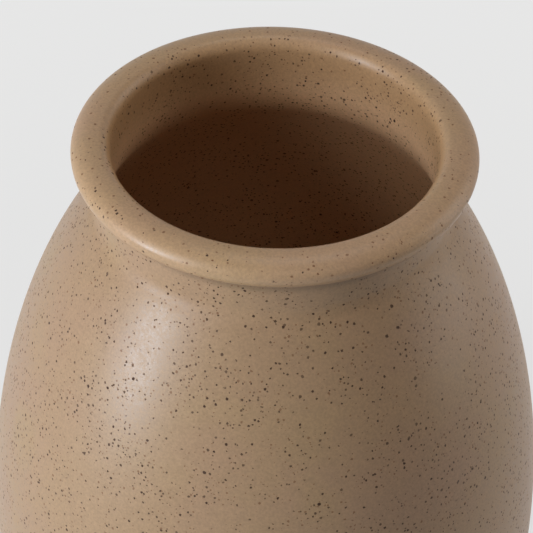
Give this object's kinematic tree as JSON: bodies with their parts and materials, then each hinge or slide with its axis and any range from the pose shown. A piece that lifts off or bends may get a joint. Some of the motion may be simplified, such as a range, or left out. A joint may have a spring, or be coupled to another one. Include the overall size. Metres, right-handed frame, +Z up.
{
  "type": "vase",
  "caption": "Ovoid wide-mouthed stoneware vase with a rolled rim, speckled tan glaze inside and out and a bare foot ring; it stands on a table and holds stems and water.",
  "frame": {"origin": "centre of the foot ring's underside, on the surface that the vase stands on", "axes": "+Z up along the axis of the pot; X and Y are equal, and -Y faces the camera of the picture"},
  "size_m": [0.2116, 0.2116, 0.3],
  "materials": {
    "clay": "bare fired stoneware, buff with fine iron specks, dry and matte",
    "slip": "fired luting slip, a shade darker than the clay",
    "outer_glaze": "satin tan glaze with brown and black iron speckles",
    "liner_glaze": "satin tan glaze with brown and black iron speckles, a little warmer inside"
  },
  "bodies": {
    "root": {"rim_ring": "clay", "rim_slip": "slip", "shoulder_section": "clay", "waist_slip": "slip", "belly_section": "clay", "foot_slip": "slip", "foot_ring": "clay", "outer_glaze": "outer_glaze", "liner_glaze": "liner_glaze"}
  },
  "joints": []
}
